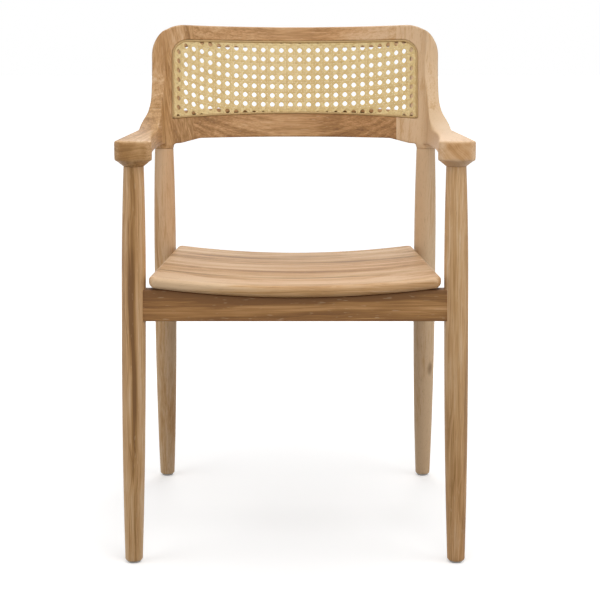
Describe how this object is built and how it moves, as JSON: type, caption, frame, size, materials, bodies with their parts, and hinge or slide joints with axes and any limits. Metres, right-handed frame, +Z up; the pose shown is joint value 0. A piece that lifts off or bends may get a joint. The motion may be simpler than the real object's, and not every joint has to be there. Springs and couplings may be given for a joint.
{
  "type": "armchair",
  "caption": "Upright armchair of solid wood with turned legs, a dished seat of glued boards, flat arms that sweep up into a curved back, and a woven cane panel in the back.",
  "frame": {"origin": "on the floor, in the middle of the chair's footprint box", "axes": "+Z up from the floor to the top of the back, the chair faces -Y, and +X is the right-hand side of the chair as seen from its front"},
  "size_m": [0.549, 0.5876, 0.8585],
  "materials": {
    "frame_teak": "oiled teak, satin",
    "seat_teak": "oiled teak, satin",
    "cane": "woven natural cane",
    "reed_spline": "reed bead, satin",
    "glide_plastic": "matte",
    "screw_steel": "zinc",
    "tenon_wood": "bare hardwood"
  },
  "bodies": {
    "root": {"arm_left": "frame_teak", "arm_right": "frame_teak", "arm_tenons": "tenon_wood", "cane_panel": "cane", "cane_spline_lower": "reed_spline", "cane_spline_upper": "reed_spline", "crest_rail": "frame_teak", "crest_tenons": "tenon_wood", "front_corner_block_left": "frame_teak", "front_corner_block_right": "frame_teak", "front_leg_left": "frame_teak", "front_leg_right": "frame_teak", "front_rail": "frame_teak", "glides": "glide_plastic", "lower_rail": "frame_teak", "lower_rail_tenons": "tenon_wood", "rear_corner_block_left": "frame_teak", "rear_corner_block_right": "frame_teak", "rear_leg_left": "frame_teak", "rear_leg_right": "frame_teak", "rear_rail": "frame_teak", "seat_board_1": "seat_teak", "seat_board_2": "seat_teak", "seat_board_3": "seat_teak", "seat_board_4": "seat_teak", "seat_board_5": "seat_teak", "seat_screws": "screw_steel", "side_rail_left": "frame_teak", "side_rail_right": "frame_teak", "stile_left": "frame_teak", "stile_right": "frame_teak"}
  },
  "joints": []
}
